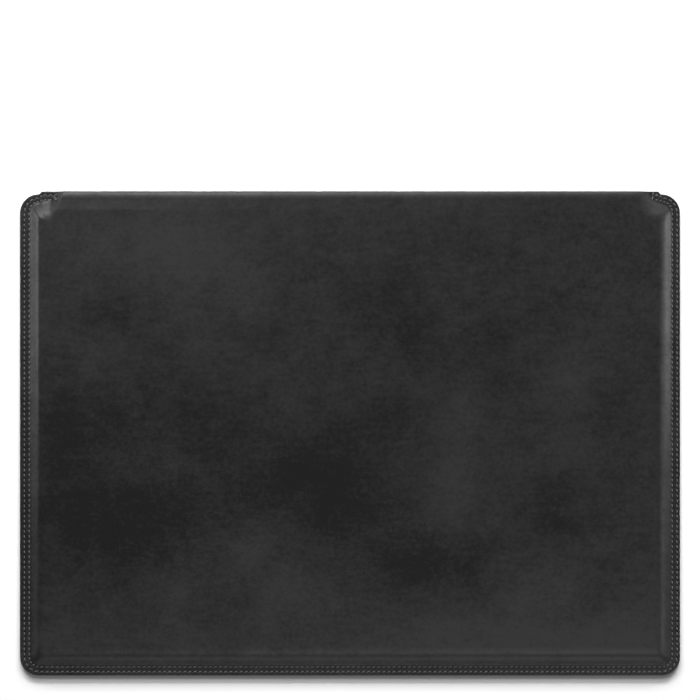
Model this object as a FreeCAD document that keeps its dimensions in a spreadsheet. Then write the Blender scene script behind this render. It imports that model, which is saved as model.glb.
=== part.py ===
import FreeCAD, Part

# Leather desk mat with an inner document pocket, 600 x 440 x 10 mm.
#
# The mat is a flat sleeve made of layers. The lower panel is a suede base, a board and the floor lining
# of the pocket. The upper panel is the ceiling lining, a board, foam and the top leather. Along the
# left, front and right edges the two panels are pressed flat and sewn together with two rows of
# lockstitch. The rows turn the back corners and end in tacks. Between the tacks the back edge stays
# open as the mouth of the pocket, where the top leather is turned in round the upper board and a
# leather facing covers the lower one.
#
# Frame: millimetres, X to the right, Y towards the mouth at the back, Z up, origin on the desk surface
# under the middle of the mat.

import math
import os
import Sketcher

# Driving dimensions: alias, value in millimetres (or a plain ratio), meaning.
SIZES = [
    ("pad_width", 600.0, "outline, left to right"),
    ("pad_depth", 440.0, "outline, front edge to the mouth line of the rolled back edge"),
    ("mouth_proud", 2.5, "how far the rolled back edge stands out behind the two sewn corner lobes"),
    ("corner_round", 17.0, "radius of the outer corners"),
    ("hem_half", 280.0, "half the length of the rolled back edge"),
    ("hem_step", 3.0, "run of the slanted step between a lobe and the rolled edge"),
    ("step_round", 1.2, "rounding of that step"),
    ("suede_thick", 1.0, "suede base"),
    ("lining_thick", 0.3, "each pocket lining"),
    ("leather_thick", 1.2, "top leather"),
    ("skived_thick", 0.5, "leather thinned where it is turned in or laid as a facing"),
    ("base_board_thick", 0.8, "board of the lower panel"),
    ("top_board_thick", 0.6, "board of the upper panel"),
    ("foam_thick", 1.2, "foam of the upper panel"),
    ("pocket_gap", 4.6, "free height of the pocket between its linings"),
    ("foot_inset", 10.0, "outline to the foot of the shoulder round the raised panel"),
    ("crown_inset", 18.0, "outline to the crown of that shoulder"),
    ("foot_round", 7.0, "front corner radius of the foot"),
    ("round_loss", 0.25, "corner radius lost per millimetre of further inset"),
    ("foot_mouth_x", 260.0, "half width of the foot at the mouth line"),
    ("mouth_draw", 1.5, "half width lost there per millimetre of further inset"),
    ("turn_run", 0.94, "run across per millimetre of depth where the shoulder slants to the mouth"),
    ("turn_round", 6.0, "rounding where that slant leaves the side"),
    ("end_round", 0.5, "rounding where it meets the mouth"),
    ("wall_shift", 0.46, "side shift of the shoulder's underside that keeps the leather's thickness"),
    ("lining_shift", 0.115, "side shift of the ceiling lining's underside"),
    ("stack_clear", 0.3, "side clearance of the upper board and the foam in the leather"),
    ("slope_back", 17.0, "mouth line to the top of the slope behind the foam"),
    ("slope_foot", 6.0, "mouth line to the foot of that slope"),
    ("nose_round", 1.3, "rounding of the rolled edge above"),
    ("lip_round", 0.8, "rounding of the rolled edge below"),
    ("flap_half", 246.0, "half length of the turned-in flap"),
    ("flap_depth", 24.0, "mouth line to the inner edge of that flap"),
    ("seam_gap", 0.5, "gap between a lining and the leather that takes over from it at the mouth"),
    ("base_board_inset", 12.5, "outline to the lower board"),
    ("lip_back", 1.0, "mouth line to the edge of the lower lip"),
    ("facing_half", 256.0, "half length of the facing on the lower lip"),
    ("facing_depth", 23.0, "mouth line to the inner edge of that facing"),
    ("outer_row_inset", 3.4, "outline to the outer row of stitches"),
    ("inner_row_inset", 7.8, "outline to the inner row of stitches"),
    ("row_end_x", 270.0, "half width where both rows end at the tacks"),
    ("thread_wide", 0.9, "width of a thread run"),
    ("thread_proud", 0.3, "height of a needle thread run above the leather"),
    ("bobbin_tall", 0.35, "height of a bobbin thread run"),
    ("run_end_round", 0.45, "corner radius at the ends of a thread run, as a share of its width"),
    ("groove_wide", 1.2, "width of the groove that a thread run is pulled into"),
    ("leather_groove", 0.2, "depth of that groove in the top leather"),
    ("suede_groove", 0.4, "depth of that groove in the suede base"),
    ("tack_gap", 0.3, "gap between a row's end and the tack"),
    ("past_mouth", 4.0, "how far cuts run out through the mouth"),
]

HALF_WIDTH = "(Sizes.pad_width / 2)"
MOUTH_Y = "(Sizes.pad_depth / 2)"
LOBE_Y = f"({MOUTH_Y} - Sizes.mouth_proud)"
LIP_Y = f"({MOUTH_Y} - Sizes.lip_back)"
BEYOND_MOUTH_Y = f"({MOUTH_Y} + Sizes.past_mouth)"

# Heights of the faces between the layers, first at the pressed border, then in the panels.
Z_SUEDE = "Sizes.suede_thick"
Z_BORDER_FLOOR = f"({Z_SUEDE} + Sizes.lining_thick)"
Z_BORDER_CEILING = f"({Z_BORDER_FLOOR} + Sizes.lining_thick)"
Z_BORDER_TOP = f"({Z_BORDER_CEILING} + Sizes.leather_thick)"
Z_BASE_BOARD = f"({Z_SUEDE} + Sizes.base_board_thick)"
Z_FLOOR = f"({Z_BASE_BOARD} + Sizes.lining_thick)"
Z_FACING = f"({Z_BASE_BOARD} + Sizes.skived_thick)"
Z_CEILING = f"({Z_FLOOR} + Sizes.pocket_gap)"
Z_TOP_BOARD = f"({Z_CEILING} + Sizes.lining_thick)"
Z_FLAP = f"({Z_TOP_BOARD} - Sizes.skived_thick)"
Z_FOAM = f"({Z_TOP_BOARD} + Sizes.top_board_thick)"
Z_LEATHER = f"({Z_FOAM} + Sizes.foam_thick)"
Z_TOP = f"({Z_LEATHER} + Sizes.leather_thick)"
SPREAD = f"((Sizes.crown_inset - Sizes.foot_inset) / ({Z_TOP} - {Z_BORDER_TOP}))"

MIRROR_SIDES = (-1, 1)
TOUCH = 1e-4

doc = FreeCAD.newDocument("DeskMat")
sheet = doc.addObject("Spreadsheet::Sheet", "Sizes")
for row, (alias, value, meaning) in enumerate(SIZES, start=1):
    sheet.set(f"A{row}", str(value))
    sheet.setAlias(f"A{row}", alias)
    sheet.set(f"B{row}", meaning)
doc.recompute()


# ---- sketches ----


def number(expression):
    """The value of an expression of the sheet's cells."""
    return float(sheet.evalExpression(expression))


def new_sketch(body, name, plane_role, offset):
    """An empty sketch parallel to one of the body's own planes, at a distance from it."""
    sketch = body.newObject("Sketcher::SketchObject", name)
    plane = next(f for f in body.Origin.OriginFeatures if f.Role == plane_role)
    sketch.AttachmentSupport = [(plane, "")]
    sketch.MapMode = "FlatFace"
    sketch.setExpression("AttachmentOffset.Base.z", offset)
    return sketch


def bind(sketch, kind, references, expression):
    """A dimension that follows an expression of the sheet's cells."""
    index = sketch.addConstraint(Sketcher.Constraint(kind, *references, number(expression)))
    sketch.setExpression(f"Constraints[{index}]", expression)


def corner_arc(before, corner, after, radius):
    """The arc that rounds a corner, with its first and last point on the way round the outline."""
    to_before = (before - corner).normalize()
    to_after = (after - corner).normalize()
    half_angle = to_before.getAngle(to_after) / 2
    inward = (to_before + to_after).normalize()
    centre = corner + inward * (radius / math.sin(half_angle))
    reach = radius / math.tan(half_angle)
    start = corner + to_before * reach
    end = corner + to_after * reach
    return Part.Arc(start, centre - inward * radius, end), start, end


def outline(body, name, plane_role, offset, corners):
    """A closed outline. A corner is a pair of expressions, with a third, its radius, if rounded."""
    count = len(corners)
    points = [FreeCAD.Vector(number(corner[0]), number(corner[1]), 0) for corner in corners]
    bends = {
        k: corner_arc(points[k - 1], points[k], points[(k + 1) % count], number(corner[2]))
        for k, corner in enumerate(corners)
        if len(corner) == 3
    }
    arrivals = [bends[k][1] if k in bends else points[k] for k in range(count)]
    departures = [bends[k][2] if k in bends else points[k] for k in range(count)]
    sketch = new_sketch(body, name, plane_role, offset)
    lines = [
        sketch.addGeometry(Part.LineSegment(departures[k], arrivals[(k + 1) % count]))
        for k in range(count)
    ]
    for k, corner in enumerate(corners):
        if k in bends:
            vertex = (sketch.addGeometry(Part.Point(points[k]), True), 1)
            bend = sketch.addGeometry(bends[k][0])
            first, last = (1, 2) if (sketch.getPoint(bend, 1) - arrivals[k]).Length < TOUCH else (2, 1)
            sketch.addConstraint(Sketcher.Constraint("Tangent", lines[k - 1], 2, bend, first))
            sketch.addConstraint(Sketcher.Constraint("Tangent", bend, last, lines[k], 1))
            sketch.addConstraint(Sketcher.Constraint("PointOnObject", *vertex, lines[k - 1]))
            sketch.addConstraint(Sketcher.Constraint("PointOnObject", *vertex, lines[k]))
            bind(sketch, "Radius", [bend], corner[2])
        else:
            vertex = (lines[k], 1)
            sketch.addConstraint(Sketcher.Constraint("Coincident", lines[k - 1], 2, *vertex))
        bind(sketch, "DistanceX", [-1, 1, *vertex], corner[0])
        bind(sketch, "DistanceY", [-1, 1, *vertex], corner[1])
    doc.recompute()
    return sketch


def even_outline(body, name, height, right_side):
    """A level outline, the same left and right, given by its corners with positive x."""
    left_side = [(f"-{corner[0]}", *corner[1:]) for corner in reversed(right_side)]
    return outline(body, name, "XY_Plane", height, right_side + left_side)


# ---- outlines that several pieces share ----


def border_outline(back):
    """The mat's own outline, with the rolled edge standing out to a given y between the lobes."""
    return [
        (HALF_WIDTH, f"-{MOUTH_Y}", "Sizes.corner_round"),
        (HALF_WIDTH, LOBE_Y, "Sizes.corner_round"),
        ("(Sizes.hem_half + Sizes.hem_step)", LOBE_Y, "Sizes.step_round"),
        ("Sizes.hem_half", back, "Sizes.step_round"),
    ]


def panel_outline(inset, back=MOUTH_Y):
    """An outline inside the sewn border. Its sides slant in to the mouth, clear of the stitches."""
    side_x = f"({HALF_WIDTH} - {inset})"
    mouth_x = f"(Sizes.foot_mouth_x - ({inset} - Sizes.foot_inset) * Sizes.mouth_draw)"
    turn_y = f"({MOUTH_Y} - ({side_x} - {mouth_x}) / Sizes.turn_run)"
    front_round = f"(Sizes.foot_round - ({inset} - Sizes.foot_inset) * Sizes.round_loss)"
    return [
        (side_x, f"({inset} - {MOUTH_Y})", front_round),
        (side_x, turn_y, "Sizes.turn_round"),
        (f"({mouth_x} + ({MOUTH_Y} - {back}) * Sizes.turn_run)", back, "Sizes.end_round"),
    ]


def row_outline(inset, width):
    """The long U of a stitch row: along the sides and the front, and round the back corners."""
    end_round = f"({width} * Sizes.run_end_round)"

    def side_of_row(shift):
        line = f"({inset} + {shift})"
        bend = f"(Sizes.corner_round - {line})"
        end_y = f"({MOUTH_Y} - {line})"
        return [
            (f"({HALF_WIDTH} - {line})", f"({line} - {MOUTH_Y})", bend),
            (f"({HALF_WIDTH} - {line})", f"({LOBE_Y} - {line})", bend),
            ("Sizes.hem_half", f"({LOBE_Y} - {line})", "Sizes.turn_round"),
            ("Sizes.row_end_x", end_y, end_round),
        ]

    outside = side_of_row(f"-{width} / 2")
    inside = side_of_row(f"{width} / 2")
    return outside + inside[::-1]


def tack_outline(side, width):
    """The short bar across the ends of both rows, on one side of the mat."""
    middle = f"({side} * (Sizes.row_end_x - Sizes.tack_gap - {width} / 2))"
    near_y = f"({MOUTH_Y} - Sizes.inner_row_inset - {width} / 2)"
    far_y = f"({MOUTH_Y} - Sizes.outer_row_inset + {width} / 2)"
    end_round = f"({width} * Sizes.run_end_round)"
    right, left = f"({middle} + {width} / 2)", f"({middle} - {width} / 2)"
    return [
        (right, near_y, end_round),
        (right, far_y, end_round),
        (left, far_y, end_round),
        (left, near_y, end_round),
    ]


def inset_under_leather(height):
    """Inset of the top leather's underside at a height."""
    return f"(Sizes.foot_inset + Sizes.wall_shift + ({height} - {Z_BORDER_CEILING}) * {SPREAD})"


def inset_under_lining(height):
    """Inset of the ceiling lining's underside at a height."""
    foot = "Sizes.foot_inset + Sizes.wall_shift + Sizes.lining_shift"
    return f"({foot} + ({height} - {Z_BORDER_FLOOR}) * {SPREAD})"


# ---- features ----


def new_body(name):
    body = doc.addObject("PartDesign::Body", name)
    body.Label = name
    return body


def pad(body, sketch, length, both_ways=False):
    """Extrudes a sketch along its normal, or half the length to each side."""
    feature = body.newObject("PartDesign::Pad", f"{sketch.Name}_pad")
    feature.Profile = sketch
    feature.Midplane = both_ways
    feature.setExpression("Length", length)
    doc.recompute()


def cut(body, sketch, length, both_ways=False):
    """Cuts a sketch against its normal, or half the length to each side."""
    before = body.Shape.Volume
    feature = body.newObject("PartDesign::Pocket", f"{sketch.Name}_cut")
    feature.Profile = sketch
    feature.Midplane = both_ways
    feature.setExpression("Length", length)
    doc.recompute()
    assert body.Shape.Volume < before - TOUCH, f"{feature.Name} cuts nothing"


def loft_between(body, kind, lower, upper):
    """A straight-sided loft, "AdditiveLoft" or "SubtractiveLoft", between two outlines."""
    loft = body.newObject(f"PartDesign::{kind}", f"{lower.Name}_loft")
    loft.Profile = lower
    loft.Sections = [upper]
    loft.Ruled = True
    doc.recompute()


def panel_loft(body, name, kind, low, high):
    """A loft between two panel outlines, each given as (height, inset, back)."""
    lower = even_outline(body, f"{name}_low", low[0], panel_outline(*low[1:]))
    upper = even_outline(body, f"{name}_high", high[0], panel_outline(*high[1:]))
    loft_between(body, kind, lower, upper)


def thread_grooves(body, top, depth):
    """The channels that both rows and both tacks are pulled into."""
    rows = (("outer", "Sizes.outer_row_inset"), ("inner", "Sizes.inner_row_inset"))
    for name, inset in rows:
        corners = row_outline(inset, "Sizes.groove_wide")
        cut(body, even_outline(body, f"{body.Name}_{name}_groove", top, corners), depth)
    for side in MIRROR_SIDES:
        name = f"{body.Name}_tack_groove_{'left' if side < 0 else 'right'}"
        corners = tack_outline(side, "Sizes.groove_wide")
        cut(body, outline(body, name, "XY_Plane", top, corners), depth)


def mouth_notch(body, name, half, depth, height):
    """Where a lining stops at the mouth and leather takes over."""
    half_notch = f"({half} + Sizes.seam_gap)"
    front = f"({MOUTH_Y} - {depth} - Sizes.seam_gap)"
    corners = [
        (f"-{half_notch}", front),
        (half_notch, front),
        (half_notch, BEYOND_MOUTH_Y),
        (f"-{half_notch}", BEYOND_MOUTH_Y),
    ]
    return outline(body, name, "XY_Plane", height, corners)


# ---- lower panel ----


def base_panel():
    """Suede that the mat lies on, with the bobbin threads sunk into its underside."""
    body = new_body("base_panel")
    pad(body, even_outline(body, "base_outline", "0", border_outline(LIP_Y)), "Sizes.suede_thick")
    thread_grooves(body, "Sizes.suede_groove", "Sizes.suede_groove")
    return body


def base_board():
    """Board that keeps the lower panel flat, up to the facing on the lower lip."""
    body = new_body("base_board")
    back = f"({LIP_Y} - Sizes.leather_thick)"
    corners = panel_outline("Sizes.base_board_inset", back)
    pad(body, even_outline(body, "base_board_outline", Z_SUEDE, corners), "Sizes.base_board_thick")
    return body


def pocket_floor_lining():
    """Lining over the lower board: flat in the border, raised like a tray over the board."""
    body = new_body("pocket_floor_lining")
    border = even_outline(body, "floor_border", Z_SUEDE, border_outline(LIP_Y))
    pad(body, border, "Sizes.lining_thick")
    board_back = f"({LIP_Y} - Sizes.leather_thick)"
    over_board = panel_outline("(Sizes.base_board_inset - Sizes.lining_thick)", board_back)
    tray = even_outline(body, "floor_tray", Z_SUEDE, over_board)
    pad(body, tray, f"{Z_FLOOR} - {Z_SUEDE}")
    board = panel_outline("Sizes.base_board_inset", board_back)
    board_space = even_outline(body, "floor_board_space", Z_BASE_BOARD, board)
    cut(body, board_space, "Sizes.base_board_thick")
    notch = mouth_notch(body, "floor_notch", "Sizes.facing_half", "Sizes.facing_depth", Z_FLOOR)
    cut(body, notch, f"{Z_FLOOR} - {Z_SUEDE}")
    return body


def lower_lip_facing():
    """Thin leather laid on the lower board at the mouth and turned down over its edge."""
    body = new_body("lower_lip_facing")
    inner_y = f"({MOUTH_Y} - Sizes.facing_depth)"
    web_y = f"({LIP_Y} - Sizes.leather_thick)"
    corners = [
        (inner_y, Z_BASE_BOARD),
        (web_y, Z_BASE_BOARD),
        (web_y, Z_SUEDE),
        (LIP_Y, Z_SUEDE),
        (LIP_Y, Z_FACING),
        (inner_y, Z_FACING),
    ]
    pad(body, outline(body, "facing_profile", "YZ_Plane", "0", corners), "2 * Sizes.facing_half", True)
    return body


# ---- upper panel ----


def pocket_ceiling_lining():
    """Lining under the upper board, down the inside of the shoulder and out into the border."""
    body = new_body("pocket_ceiling_lining")
    border = even_outline(body, "ceiling_border", Z_BORDER_FLOOR, border_outline(LIP_Y))
    pad(body, border, "Sizes.lining_thick")
    back = f"({MOUTH_Y} - Sizes.past_mouth)"
    panel_loft(
        body,
        "ceiling_outside",
        "AdditiveLoft",
        (Z_BORDER_CEILING, inset_under_leather(Z_BORDER_CEILING), back),
        (Z_TOP_BOARD, inset_under_leather(Z_TOP_BOARD), back),
    )
    panel_loft(
        body,
        "ceiling_inside",
        "SubtractiveLoft",
        (Z_BORDER_FLOOR, inset_under_lining(Z_BORDER_FLOOR), BEYOND_MOUTH_Y),
        (Z_CEILING, inset_under_lining(Z_CEILING), BEYOND_MOUTH_Y),
    )
    notch = mouth_notch(body, "ceiling_notch", "Sizes.flap_half", "Sizes.flap_depth", Z_TOP_BOARD)
    cut(body, notch, f"{Z_TOP_BOARD} - {Z_BORDER_FLOOR}")
    return body


def top_board():
    """Board that carries the writing surface, out to the rolled edge."""
    body = new_body("top_board")
    inset = f"({inset_under_leather(Z_FOAM)} + Sizes.stack_clear)"
    back = f"({MOUTH_Y} - Sizes.leather_thick - Sizes.stack_clear)"
    corners = panel_outline(inset, back)
    pad(body, even_outline(body, "top_board_outline", Z_TOP_BOARD, corners), "Sizes.top_board_thick")
    return body


def foam_space(body, kind, clearance):
    """The flat foam with its bevelled edges, or the space for it in the leather."""
    low_back = f"({MOUTH_Y} - Sizes.slope_foot - Sizes.leather_thick - {clearance})"
    high_back = f"({MOUTH_Y} - Sizes.slope_back - {clearance})"
    panel_loft(
        body,
        f"{body.Name}_foam",
        kind,
        (Z_FOAM, f"({inset_under_leather(Z_FOAM)} + {clearance})", low_back),
        (Z_LEATHER, f"({inset_under_leather(Z_LEATHER)} + {clearance})", high_back),
    )


def foam_pad():
    """Soft layer under the writing surface, bevelled away before the rolled edge."""
    body = new_body("foam_pad")
    foam_space(body, "AdditiveLoft", "Sizes.stack_clear")
    return body


def round_back_edge(body, name, height, radius, sense):
    """Rounds the upper edge (sense "1") or the lower edge ("-1") of the rolled back edge."""
    start_y = f"({MOUTH_Y} - {radius} - Sizes.seam_gap)"
    turn_z = f"({height} - {sense} * ({radius} + Sizes.seam_gap / 2))"
    outside_z = f"({height} + {sense} * Sizes.past_mouth)"
    corners = [
        (start_y, height),
        (MOUTH_Y, height, radius),
        (MOUTH_Y, turn_z),
        (BEYOND_MOUTH_Y, turn_z),
        (BEYOND_MOUTH_Y, outside_z),
        (start_y, outside_z),
    ]
    cut(body, outline(body, name, "YZ_Plane", "0", corners), "2 * Sizes.flap_half", True)


def top_leather():
    """The one hide on top: flat sewn flange, shoulder, writing surface, rolled edge and flap."""
    body = new_body("top_leather")
    flange = even_outline(body, "flange_outline", Z_BORDER_CEILING, border_outline(MOUTH_Y))
    pad(body, flange, "Sizes.leather_thick")
    panel_loft(
        body,
        "shoulder",
        "AdditiveLoft",
        (Z_BORDER_TOP, "Sizes.foot_inset", MOUTH_Y),
        (Z_TOP, "Sizes.crown_inset", MOUTH_Y),
    )

    # The leather comes down over the foam's bevel to lie on the board at the rolled edge.
    slope_start = f"({MOUTH_Y} - Sizes.slope_back)"
    slope_end = f"({MOUTH_Y} - Sizes.slope_foot)"
    above = f"({Z_TOP} + Sizes.past_mouth)"
    corners = [
        (slope_start, Z_TOP),
        (slope_end, Z_LEATHER),
        (BEYOND_MOUTH_Y, Z_LEATHER),
        (BEYOND_MOUTH_Y, above),
        (slope_start, above),
    ]
    cut(body, outline(body, "back_slope", "YZ_Plane", "0", corners), "Sizes.pad_width", True)

    panel_loft(
        body,
        "pocket_space",
        "SubtractiveLoft",
        (Z_BORDER_CEILING, inset_under_leather(Z_BORDER_CEILING), BEYOND_MOUTH_Y),
        (Z_FLAP, inset_under_leather(Z_FLAP), BEYOND_MOUTH_Y),
    )
    web_y = f"({MOUTH_Y} - Sizes.leather_thick)"
    panel_loft(
        body,
        "board_space",
        "SubtractiveLoft",
        (Z_FLAP, inset_under_leather(Z_FLAP), web_y),
        (Z_FOAM, inset_under_leather(Z_FOAM), web_y),
    )
    foam_space(body, "SubtractiveLoft", "0")

    flap_front = f"({MOUTH_Y} - Sizes.flap_depth)"
    flap_back = f"({web_y} + Sizes.seam_gap / 2)"
    flap_corners = [
        ("-Sizes.flap_half", flap_front),
        ("Sizes.flap_half", flap_front),
        ("Sizes.flap_half", flap_back),
        ("-Sizes.flap_half", flap_back),
    ]
    flap = outline(body, "flap_outline", "XY_Plane", Z_FLAP, flap_corners)
    pad(body, flap, "Sizes.skived_thick")

    round_back_edge(body, "nose", Z_LEATHER, "Sizes.nose_round", "1")
    round_back_edge(body, "lip", Z_FLAP, "Sizes.lip_round", "-1")
    thread_top = f"({Z_BORDER_TOP} + Sizes.thread_proud)"
    thread_grooves(body, thread_top, "Sizes.thread_proud + Sizes.leather_groove")
    return body


# ---- threads ----


def row_thread(name, inset, bottom, height):
    """One thread of a stitch row, as the run that lies on its face of the mat."""
    body = new_body(name)
    corners = row_outline(inset, "Sizes.thread_wide")
    pad(body, even_outline(body, f"{name}_path", bottom, corners), height)
    return body


def tack_thread(name, side, bottom, height):
    """One thread of a tack across the ends of both rows."""
    body = new_body(name)
    corners = tack_outline(side, "Sizes.thread_wide")
    pad(body, outline(body, f"{name}_path", "XY_Plane", bottom, corners), height)
    return body


def threads():
    """Needle threads on the leather and bobbin threads in the suede."""
    needle_bottom = f"({Z_BORDER_TOP} - Sizes.leather_groove)"
    bobbin_bottom = "(Sizes.suede_groove - Sizes.bobbin_tall)"
    faces = (
        ("needle", needle_bottom, "Sizes.thread_proud + Sizes.leather_groove"),
        ("bobbin", bobbin_bottom, "Sizes.bobbin_tall"),
    )
    bodies = []
    for face, bottom, height in faces:
        bodies.append(row_thread(f"outer_row_{face}_thread", "Sizes.outer_row_inset", bottom, height))
        bodies.append(row_thread(f"inner_row_{face}_thread", "Sizes.inner_row_inset", bottom, height))
        bodies.append(tack_thread(f"left_tack_{face}_thread", -1, bottom, height))
        bodies.append(tack_thread(f"right_tack_{face}_thread", 1, bottom, height))
    return bodies


# ---- build, check and write ----

pieces = [
    base_panel(),
    base_board(),
    pocket_floor_lining(),
    lower_lip_facing(),
    pocket_ceiling_lining(),
    top_board(),
    foam_pad(),
    top_leather(),
    *threads(),
]
for piece in pieces:
    piece.Placement = FreeCAD.Placement()
doc.recompute()

for thing in doc.Objects:
    faults = {"Invalid", "Error"} & set(thing.State)
    assert not faults, f"{thing.Name} is {faults}"
    if thing.isDerivedFrom("Sketcher::SketchObject"):
        assert thing.FullyConstrained, f"{thing.Name} is loose"
for piece in pieces:
    assert not piece.Shape.isNull() and piece.Shape.isValid(), f"{piece.Label} has no valid shape"
    assert len(piece.Shape.Solids) == 1, f"{piece.Label} is in {len(piece.Shape.Solids)} solids"

os.makedirs("parts", exist_ok=True)
for piece in pieces:
    piece.Shape.exportStep(f"parts/{piece.Label}.step")
    print(f"{piece.Label:26s} {piece.Shape.Volume:12.1f} mm3")
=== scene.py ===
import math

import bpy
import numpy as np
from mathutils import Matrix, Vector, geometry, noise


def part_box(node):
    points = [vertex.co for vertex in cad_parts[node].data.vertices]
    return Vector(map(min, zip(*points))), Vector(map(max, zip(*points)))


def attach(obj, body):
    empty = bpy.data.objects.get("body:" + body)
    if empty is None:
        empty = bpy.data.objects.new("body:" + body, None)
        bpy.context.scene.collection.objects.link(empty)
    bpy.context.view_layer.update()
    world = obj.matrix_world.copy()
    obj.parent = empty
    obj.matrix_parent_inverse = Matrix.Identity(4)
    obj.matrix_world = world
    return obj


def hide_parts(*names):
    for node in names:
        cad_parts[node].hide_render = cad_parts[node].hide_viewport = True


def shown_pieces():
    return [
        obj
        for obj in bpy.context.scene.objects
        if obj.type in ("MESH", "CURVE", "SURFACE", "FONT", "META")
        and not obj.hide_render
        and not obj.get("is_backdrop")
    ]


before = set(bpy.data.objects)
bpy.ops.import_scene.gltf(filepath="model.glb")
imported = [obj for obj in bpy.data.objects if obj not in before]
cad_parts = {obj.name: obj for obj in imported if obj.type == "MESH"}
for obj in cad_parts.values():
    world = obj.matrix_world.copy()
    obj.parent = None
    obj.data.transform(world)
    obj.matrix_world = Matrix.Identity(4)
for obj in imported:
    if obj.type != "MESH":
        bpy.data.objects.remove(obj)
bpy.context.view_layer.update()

# Leather desk mat: the hide, suede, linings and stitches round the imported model.
#
# Everything is in metres in the frame's own axes: X to the right, Y to the rolled back edge, Z up. The
# leather, the suede and the stitches share one set of columns: lines that run inwards from the edge,
# four to a stitch, so that needle holes, puckers and stitches meet.

MM = 0.001

# ---- sizes, from the frame and from how such a mat is sewn ----

LEATHER_LOW, LEATHER_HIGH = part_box("top_leather")
SUEDE_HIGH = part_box("base_panel")[1]
BOARD_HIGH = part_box("top_board")[1]
FOAM_LOW, FOAM_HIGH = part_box("foam_pad")
FLOOR_LOW, FLOOR_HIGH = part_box("pocket_floor_lining")
CEILING_LOW, CEILING_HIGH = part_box("pocket_ceiling_lining")
FACING_LOW, FACING_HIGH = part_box("lower_lip_facing")
BASE_BOARD_LOW, BASE_BOARD_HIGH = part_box("base_board")

HALF_WIDTH = LEATHER_HIGH.x
FRONT_Y = LEATHER_LOW.y
MOUTH_Y = LEATHER_HIGH.y
LEATHER = 1.2 * MM
BORDER_TOP = LEATHER_LOW.z + LEATHER
CROWN = LEATHER_HIGH.z

# The plan: the mouth's edge stands proud of the back corners, past a short step at each end.
MOUTH_PROUD = 2.5 * MM
STEP_RUN = 3 * MM
STEP_FADE = 16 * MM
HEM_HALF = 280 * MM
CORNER = 17 * MM
TIGHTEST_CORNER = 6 * MM

# Columns along each stretch of the right half, from the middle of the front to the middle of the back.
PER_STITCH = 4
FRONT_COLUMNS = 244
CORNER_COLUMNS = 16
SIDE_COLUMNS = 348
STEP_COLUMNS = 4
HEM_COLUMNS = 240
HEM_START = FRONT_COLUMNS + 2 * CORNER_COLUMNS + SIDE_COLUMNS + STEP_COLUMNS
RIGHT_TACK = HEM_START + PER_STITCH
LEFT_TACK = HEM_START + 3 * PER_STITCH

# The two rows of stitches, as insets from the outline, and how far the sewing ran to the right.
OUTER_ROW = 3.4 * MM
INNER_ROW = 7.8 * MM
SEAM_DRIFT = 0.7 * MM


def smooth(low, high, value):
    """0 below low, 1 above high and a smooth rise between."""
    t = np.clip((value - low) / (high - low), 0, 1)
    return t * t * (3 - 2 * t)


def soft_least(a, b, width):
    """The smaller of two values, with the crossing rounded over a width."""
    t = np.clip(0.5 + 0.5 * (b - a) / width, 0, 1)
    return b + (a - b) * t - width * t * (1 - t)


def ripple(points, scale, seed):
    """Smooth noise from -1 to 1 at each (x, y) row, with features about one scale across."""
    return np.array([noise.noise(Vector((x / scale, y / scale, seed))) for x, y in points])


# ---- the mat's plan ----


def right_half(inset, back_cut):
    """The right half of the line that runs inside the outline by an inset, as (x, y) rows."""
    radius = max(CORNER - inset, TIGHTEST_CORNER)
    side_x = HALF_WIDTH - inset
    front_y = FRONT_Y + inset
    step = MOUTH_PROUD * (1 - smooth(0, STEP_FADE, inset))
    hem_y = MOUTH_Y - back_cut - inset
    lobe_y = hem_y - max(step - back_cut, 0)
    arc_x = side_x - radius

    def run(start, end, count):
        t = np.arange(count)[:, None] / count
        return np.array(start) * (1 - t) + np.array(end) * t

    def arc(centre, first, last):
        angles = np.radians(first + (last - first) * np.arange(CORNER_COLUMNS) / CORNER_COLUMNS)
        return np.array(centre) + radius * np.column_stack([np.cos(angles), np.sin(angles)])

    step_end = HEM_HALF + STEP_RUN - (HALF_WIDTH - CORNER) + arc_x
    step_x = min(step_end, arc_x)
    hem_x = step_x - STEP_RUN
    t = np.arange(STEP_COLUMNS) / STEP_COLUMNS
    step_line = np.column_stack([step_x + (hem_x - step_x) * t, lobe_y + (hem_y - lobe_y) * smooth(0, 1, t)])
    return np.vstack([
        run((0, front_y), (arc_x, front_y), FRONT_COLUMNS),
        arc((arc_x, front_y + radius), -90, 0),
        run((side_x, front_y + radius), (side_x, lobe_y - radius), SIDE_COLUMNS),
        arc((arc_x, lobe_y - radius), 0, 90),
        step_line,
        run((hem_x, hem_y), (0, hem_y), HEM_COLUMNS),
        [(0, hem_y)],
    ])


def ring(inset, back_cut=0.0):
    """The closed line inside the outline by an inset, anticlockwise from the middle of the front.

    Near the rows of stitches it drifts to the right with them.
    """
    right = right_half(inset, back_cut)
    left = right[-2:0:-1] * (-1, 1)
    drift = SEAM_DRIFT * smooth(0, 2.6 * MM, inset) * (1 - smooth(8.8 * MM, 13 * MM, inset))
    return np.vstack([right, left]) + (drift, 0)


HALF_COLUMNS = len(right_half(0, 0)) - 1
COLUMNS = 2 * HALF_COLUMNS
COLUMN = np.arange(COLUMNS)
FROM_FRONT = np.minimum(COLUMN, COLUMNS - COLUMN)
PAST_TACK = FROM_FRONT - np.where(COLUMN < HALF_COLUMNS, RIGHT_TACK, LEFT_TACK)

# ---- the leather's surface ----

# The shoulder: the inset of its foot, how far it runs in as it rises, and how round its crest is.
LEFT_FOOT, LEFT_RUN, LEFT_CREST = 9.3 * MM, 8.4 * MM, 0.3
RIGHT_FOOT, RIGHT_RUN, RIGHT_CREST = 8.2 * MM, 7.2 * MM, 0.95
FRONT_FOOT, FRONT_RUN, FRONT_CREST = 9.4 * MM, 9.0 * MM, 0.6
TURN_CREST = 0.95
FOOT_ROUND = 0.2
SIDES_MEET = 60 * MM

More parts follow.
